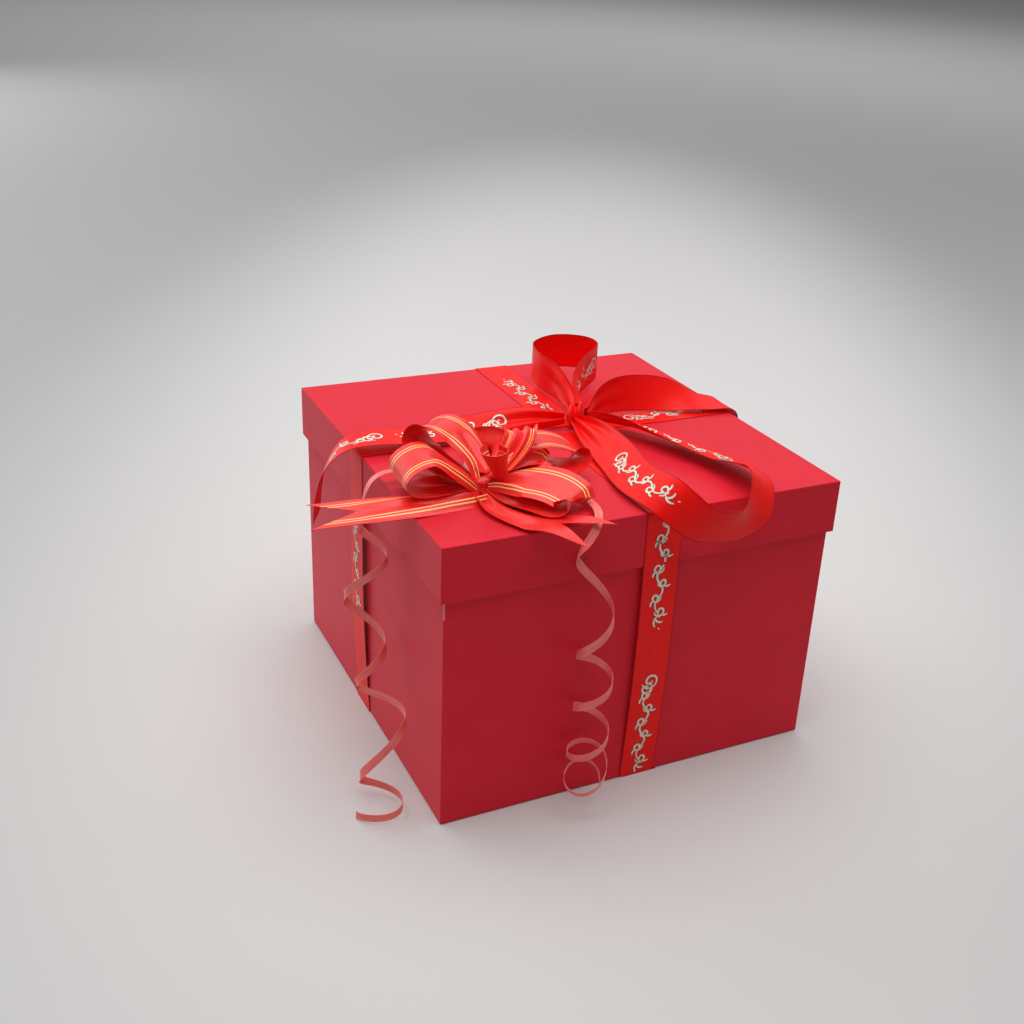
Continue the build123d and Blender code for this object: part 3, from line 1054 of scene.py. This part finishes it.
# name, stations, where its print starts, and the side that is printed
BOW = [
    ("bow_loop_back", BOW_BACK, (150,), -1),
    ("bow_loop_front", BOW_FRONT, (62, 262), 1),
    ("bow_tail_left", BOW_LEFT, (36, 122), -1),
    ("bow_tail_right", BOW_RIGHT, (), 1),
]


def tied_bow():
    """Two loops and two tails of the satin bow, gathered where they leave the knot."""
    for name, stations, starts, side in BOW:
        band = Band(stations, SATIN)
        piece = ribbon("satin_" + name, band, "lid", name, [satin], columns=21)
        if starts:
            places = [place * MM for place in starts]
            add_print("print_" + name, band, "lid", places, side)


tied_bow()

# the wrap's middle and axis, the width it is squeezed to, its radius, how much that grows and how far
# it creeps along the axis at each step, past the middle, its height as a share of its width, its angles
KNOT = Vector((17, 3, 198.5))
KNOT_AXIS = Vector((0.85, -0.5, 0.15)).normalized()
KNOT_SPREAD = 11.5
KNOT_RADIUS = 6.2
KNOT_GROWTH = 0.12
KNOT_CREEP = 0.3
KNOT_OFFSET = 0.2
KNOT_STEPS = 12
KNOT_FLATNESS = 0.95
KNOT_START = -110
KNOT_STEP = 33


def knot():
    """The short pleated wrap that ties the bow, wound once round the loops' ends."""
    side = KNOT_AXIS.cross(Vector((0, 0, 1))).normalized()
    up = side.cross(KNOT_AXIS)
    stations = []
    for step in range(KNOT_STEPS + 1):
        angle = radians(KNOT_START + KNOT_STEP * step)
        reach = KNOT_RADIUS + KNOT_GROWTH * step
        round_axis = side * cos(angle) + up * (KNOT_FLATNESS * sin(angle))
        creep = KNOT_CREEP * (step - KNOT_STEPS / 2) + KNOT_OFFSET
        place = KNOT + round_axis * reach + KNOT_AXIS * creep
        stations.append((tuple(place), tuple(KNOT_AXIS), KNOT_SPREAD))
    band = Band(stations, SATIN)
    piece = ribbon("satin_knot", band, "lid", "ribbon_knot", [satin], columns=31)


knot()


# ---- pull bow ----
# stations run out along the strand that shows, round the tip and back, with the gold lines outside
LOOP_LEFT_FRONT = [
    ((-90, -78, 194), (0.1, 0.9, 0.1), 6),
    ((-103, -71, 206), (0, 0.99, 0.13), 22),
    ((-116, -66, 215.5), (0, 0.99, 0.13), 30),
    ((-129, -66, 213), (0, 0.99, 0.13), 30),
    ((-135, -66, 206), (0, 0.99, 0.13), 30),
    ((-132, -66, 199), (0, 0.99, 0.1), 30),
    ((-121, -66, 195), (0, 1, 0.05), 30),
    ((-105, -70, 194), (0, 1, 0.05), 24),
    ((-90, -77, 194), (0.1, 0.9, 0), 6),
]
LOOP_LEFT_BACK = [
    ((-87, -75, 197), (0.8, 0.58, 0), 6),
    ((-84, -62, 208), (0.8, 0.58, 0), 22),
    ((-90, -48, 219), (0.8, 0.58, 0), 30),
    ((-99, -38, 223), (0.8, 0.58, 0), 30),
    ((-108, -34, 219), (0.8, 0.58, 0), 30),
    ((-111, -38, 211), (0.8, 0.58, 0), 30),
    ((-107, -50, 203), (0.8, 0.58, 0), 26),
    ((-97, -66, 198), (0.8, 0.58, 0), 16),
    ((-90, -76, 196), (0.8, 0.58, 0), 6),
]
LOOP_BACK = [
    ((-85, -72, 200), (0, -0.2, 1), 8),
    ((-82, -55, 203), (0, -0.2, 1), 20),
    ((-80, -43, 203.5), (0, -0.2, 1), 23),
    ((-72, -38, 204), (0, -0.2, 1), 23),
    ((-63, -41, 203.5), (0, -0.2, 1), 23),
    ((-65, -53, 203), (0, -0.2, 1), 20),
    ((-78, -70, 200), (0, -0.2, 1), 8),
]
LOOP_RIGHT_BACK = [
    ((-84, -74, 197), (-0.2, -0.98, 0), 6),
    ((-68, -66, 206), (-0.2, -0.98, 0), 18),
    ((-52, -58, 211), (-0.15, -0.99, 0), 30),
    ((-36, -56, 211), (-0.12, -0.99, 0), 30),
    ((-24, -60, 208), (-0.12, -0.99, 0), 30),
    ((-18, -64, 202.5), (-0.12, -0.99, 0), 30),
    ((-24, -68, 198), (-0.12, -0.99, 0), 30),
    ((-42, -72, 196), (-0.12, -0.99, 0), 28),
    ((-62, -75, 196), (-0.2, -0.98, 0), 18),
    ((-82, -76, 196), (-0.2, -0.98, 0), 6),
]
LOOP_RIGHT_INNER = [
    ((-82, -78, 198), (-0.1, -0.97, -0.2), 6),
    ((-64, -76, 205), (-0.1, -0.97, -0.2), 18),
    ((-52, -75, 207), (-0.1, -0.97, -0.2), 24),
    ((-44, -76, 204), (-0.1, -0.97, -0.2), 24),
    ((-50, -78, 200.5), (-0.1, -0.97, -0.2), 24),
    ((-66, -78, 199), (-0.1, -0.97, -0.2), 16),
    ((-82, -79, 198), (-0.1, -0.97, -0.2), 6),
]
LOOP_RIGHT_FRONT = [
    ((-84, -81, 197), (-0.83, -0.38, -0.2), 6),
    ((-75, -87, 201), (-0.83, -0.38, -0.31), 20),
    ((-65, -95, 203.5), (-0.83, -0.38, -0.31), 30),
    ((-55, -107, 204), (-0.83, -0.38, -0.3), 30),
    ((-48.5, -117.5, 201.5), (-0.83, -0.38, -0.25), 30),
    ((-48, -121, 198), (-0.84, -0.38, -0.21), 30),
    ((-54, -116.5, 195), (-0.86, -0.39, -0.15), 30),
    ((-63, -108, 194.2), (-0.88, -0.4, -0.08), 28),
    ((-76, -94, 193.6), (-0.9, -0.4, -0.03), 22),
    ((-85, -82, 195), (-0.9, -0.4, 0), 6),
]
LOOP_TOP = [
    ((-80, -77, 198), (0.9, -0.3, 0.2), 6),
    ((-68, -72, 208), (0.9, -0.3, 0.2), 14),
    ((-58, -66, 217), (0.9, -0.3, 0.2), 19),
    ((-53, -58, 220), (0.9, -0.3, 0.2), 20),
    ((-52, -52, 215), (0.9, -0.3, 0.2), 20),
    ((-58, -56, 208), (0.9, -0.3, 0.2), 18),
    ((-68, -66, 201), (0.9, -0.3, 0.2), 12),
    ((-80, -75, 198), (0.9, -0.3, 0.2), 6),
]
# the loop in the middle stands as a cone that opens upwards, with its plain side out and its ends
# behind; it starts at an angle, and its flare is how far its width leans outwards
CONE_CENTRE = Vector((-78.5, -83, 206.8))
CONE_RADIUS = 5.0
CONE_AXIS = Vector((-0.38, -0.08, 1))
CONE_FLARE = 0.2
CONE_START = 110
CONE_STEP = 40
CONE_STEPS = 8


def cone_stations():
    """Stations of the loop that stands as a cone: nearly once round its axis."""
    stations = []
    for step in range(CONE_STEPS + 1):
        angle = radians(CONE_START + CONE_STEP * step)
        out = Vector((cos(angle), sin(angle), 0))
        place = CONE_CENTRE + out * CONE_RADIUS
        stations.append((tuple(place), tuple(CONE_AXIS + out * CONE_FLARE), POLY / MM))
    return stations


# each loop's stations and how many pleats it is gathered in where it narrows
PULL_LOOPS = {
    "left_front": (LOOP_LEFT_FRONT, 2),
    "left_back": (LOOP_LEFT_BACK, 2),
    "back": (LOOP_BACK, 1),
    "right_back": (LOOP_RIGHT_BACK, 2),
    "right_inner": (LOOP_RIGHT_INNER, 1),
    "right_front": (LOOP_RIGHT_FRONT, 2),
    "centre": (cone_stations(), 1),
    "top": (LOOP_TOP, 3),
}
# each end's stations, from under the loops out to its points
PULL_TAILS = {
    "left": [
        ((-88, -83, 192.4), (0.35, 0.94, 0), 16),
        ((-99, -84, 192.3), (0.35, 0.94, 0), 18),
        ((-113, -83, 192.2), (0.35, 0.94, 0), 22),
        ((-136, -82, 192.8), (0.32, 0.94, 0.05), 28),
        ((-162, -77, 191), (0.25, 0.96, 0.05), 30),
        ((-190, -71, 189), (0.2, 0.97, 0.05), 30),
    ],
    "right": [
        ((-87, -82, 192.6), (0.8, 0.6, 0), 16),
        ((-86, -91, 192.4), (0.92, 0.38, 0), 20),
        ((-83, -105, 191.4), (0.97, 0.2, 0), 26),
        ((-72, -125, 191.9), (0.99, 0.1, 0.02), 30),
        ((-60, -143, 195), (0.99, 0.05, 0.05), 30),
        ((-49, -160, 194.5), (0.99, 0, 0.05), 30),
    ],
}
# depth of the swallow tail that is cut in each end
NOTCH = 28 * MM


def pull_bow():
    """Eight loops and two swallow-tailed ends, with the gold lines on one side of the film."""
    for name, (stations, pleats) in PULL_LOOPS.items():
        band = Band(stations, POLY, pleats=pleats)
        node = "pull_bow_loop_" + name
        piece = ribbon("poly_loop_" + name, band, "lid", node, [poly, plain_poly])
    for name, stations in PULL_TAILS.items():
        band = Band(stations, POLY)
        node = "pull_bow_tail_" + name
        piece = ribbon(
            "poly_tail_" + name, band, "lid", node, [poly, plain_poly], notch=NOTCH
        )


pull_bow()

# the middle of the pull bow, where its film is pinched together
CINCH_PLACE = (-86.5 * MM, -78 * MM, 196.5 * MM)
CINCH_RADIUS = 5.5 * MM
CINCH_HEIGHT = 9 * MM
CINCH_FOLDS = 14
# radius between the folds, at the waist and at the two ends, as shares of the radius before
CINCH_HOLLOW = 0.8
CINCH_WAIST = 0.72
CINCH_ENDS = 0.7


def fold_number(place):
    """Which upright line of the cinch a point is on."""
    turn = atan2(place.y - CINCH_PLACE[1], place.x - CINCH_PLACE[0])
    return round(turn / (pi / CINCH_FOLDS))


def select_places(piece, chosen):
    """Select the vertices in edit mode whose place is chosen."""
    bpy.ops.mesh.select_all(action="DESELECT")
    mesh = bmesh.from_edit_mesh(piece.data)
    for vertex in mesh.verts:
        vertex.select_set(chosen(vertex.co))
    mesh.select_flush(True)
    bmesh.update_edit_mesh(piece.data)


def draw_in(share):
    """Bring the selected vertices nearer to the cinch's upright axis."""
    bpy.ops.transform.resize(value=(share, share, 1.0), center_override=CINCH_PLACE)


def cinch():
    """The gathered middle of the pull bow: its film pinched in folds, with a waist where it is tied."""
    bpy.ops.object.select_all(action="DESELECT")
    bpy.ops.mesh.primitive_cylinder_add(
        vertices=2 * CINCH_FOLDS, radius=CINCH_RADIUS, depth=CINCH_HEIGHT, location=CINCH_PLACE
    )
    piece = bpy.context.object
    piece.name = "pull_bow_cinch"
    bpy.ops.object.transform_apply(location=True, rotation=False, scale=False)
    bpy.ops.object.mode_set(mode="EDIT")
    bpy.ops.mesh.select_mode(type="EDGE")
    bpy.ops.mesh.select_all(action="DESELECT")
    mesh = bmesh.from_edit_mesh(piece.data)
    for edge in mesh.edges:
        low, high = sorted(edge.verts, key=lambda vertex: vertex.co.z)
        edge.select_set(high.co.z - low.co.z > CINCH_HEIGHT / 2)
    bmesh.update_edit_mesh(piece.data)
    bpy.ops.mesh.subdivide(number_cuts=5)
    bpy.ops.mesh.select_mode(type="VERT")
    select_places(piece, lambda place: fold_number(place) % 2 == 1)
    draw_in(CINCH_HOLLOW)
    select_places(piece, lambda place: abs(place.z - CINCH_PLACE[2]) < CINCH_HEIGHT / 10)
    draw_in(CINCH_WAIST)
    select_places(piece, lambda place: abs(place.z - CINCH_PLACE[2]) > CINCH_HEIGHT * 0.45)
    draw_in(CINCH_ENDS)
    bpy.ops.object.mode_set(mode="OBJECT")
    rounding = piece.modifiers.new("rounding", "SUBSURF")
    rounding.levels = 2
    rounding.render_levels = 2
    bpy.ops.object.modifier_apply(modifier=rounding.name)
    bpy.ops.object.shade_smooth_by_angle(angle=FOLD_ANGLE)
    piece.data.materials.append(plain_poly)
    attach(piece, "lid")
    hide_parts("pull_bow_core")


cinch()


# ---- materials of the carried-over nodes ----
def dress(names, material):
    """Give CAD nodes a finish through their objects' own material slots."""
    for name in names:
        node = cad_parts[name]
        if not node.material_slots:
            node.data.materials.append(material)
        for slot in node.material_slots:
            slot.link = "OBJECT"
            slot.material = material


dress(["lid_wrap", "base_wrap"], art_paper())
dress(["lid_board", "base_board"], board_stock())
lining_paper = plain_paper("uncoated_lining_paper", "E6E1D6", "F1EDE4", 4 * MM)
dress(["lid_liner", "base_liner"], lining_paper)
stay_paper = plain_paper("kraft_stay_paper", "A98A5E", "BD9F74", 2 * MM)
dress(["lid_corner_tapes", "base_corner_tapes"], stay_paper)
dress(["ribbon_under_base"], satin)
dress(["pull_bow_pad"], foam_pad())


# ---- floor and light ----
# the painted pool of light on the floor, with painted shade darker further out: its middle, its half size,
# and the floor's painted tints outwards from it, at shares of POOL_SPAN half sizes
POOL_CENTRE = CAMERA_SIDE * 0.03 + AWAY * 0.75
POOL_REACH = (0.62, 1.75, 1.0)
POOL_SPAN = 3.0
PAINTED_LIGHT_POOL_TINTS = [(0.0, "D6D4D3"), (0.12, "D6D4D3"), (0.38, "AAAAAA"), (1.0, "BCBCBC")]
ROOM_STRENGTH = 0.27
# name: place, the point it faces, its side and its power in watts
LAMPS = {
    "overhead": ((-0.05, -0.05, 1.9), (0, 0, 0), 2.0, 36.0),
    "back": ((-1.3, 2.6, 1.35), (0, 0, 0.15), 2.6, 32.0),
    "backdrop": ((2.6, 4.6, 3.0), (2.6, 5.2, 0), 5.0, 90.0),
}


def studio():
    """Pale floor with a painted pool of light that darkens outwards, and plain soft studio light."""
    bpy.ops.object.select_all(action="DESELECT")
    bpy.ops.mesh.primitive_plane_add(size=60, location=(0, 0, 0))
    floor = bpy.context.object
    floor.name = "floor"
    material, tree, output = new_material("floor_with_painted_light_pool")
    place = add(tree, "ShaderNodeTexCoord").outputs["Object"]
    turned = add(
        tree,
        "ShaderNodeMapping",
        {0: place, "Location": POOL_CENTRE, "Rotation": (0, 0, CAMERA_HEADING), "Scale": POOL_REACH},
        vector_type="TEXTURE",
    )
    reach = add(tree, "ShaderNodeVectorMath", {0: turned.outputs[0]}, operation="LENGTH")
    share = add(tree, "ShaderNodeMath", {0: reach.outputs["Value"], 1: POOL_SPAN}, operation="DIVIDE")
    # painted light and shade: bright in the pool round the box, darker further out
    tint = add(tree, "ShaderNodeValToRGB", {"Fac": share.outputs[0]}, stops=PAINTED_LIGHT_POOL_TINTS).outputs["Color"]
    shader = add(tree, "ShaderNodeBsdfPrincipled", {"Base Color": tint, "Roughness": 0.75})
    tree.links.new(shader.outputs[0], output.inputs[0])
    floor.data.materials.append(material)
    bpy.context.scene.view_settings.view_transform = "Standard"
    world = bpy.data.worlds.new("soft_room")
    bpy.context.scene.world = world
    world.use_nodes = True
    background = world.node_tree.nodes["Background"]
    background.inputs["Color"].default_value = colour("F2F3F5")
    background.inputs["Strength"].default_value = ROOM_STRENGTH
    for name, (stand, aim, size, power) in LAMPS.items():
        data = bpy.data.lights.new(name, "AREA")
        data.size = size
        data.energy = power
        lamp = bpy.data.objects.new(name, data)
        lamp.location = stand
        lamp.rotation_euler = (Vector(aim) - Vector(stand)).to_track_quat("-Z", "Y").to_euler()
        bpy.context.collection.objects.link(lamp)


studio()
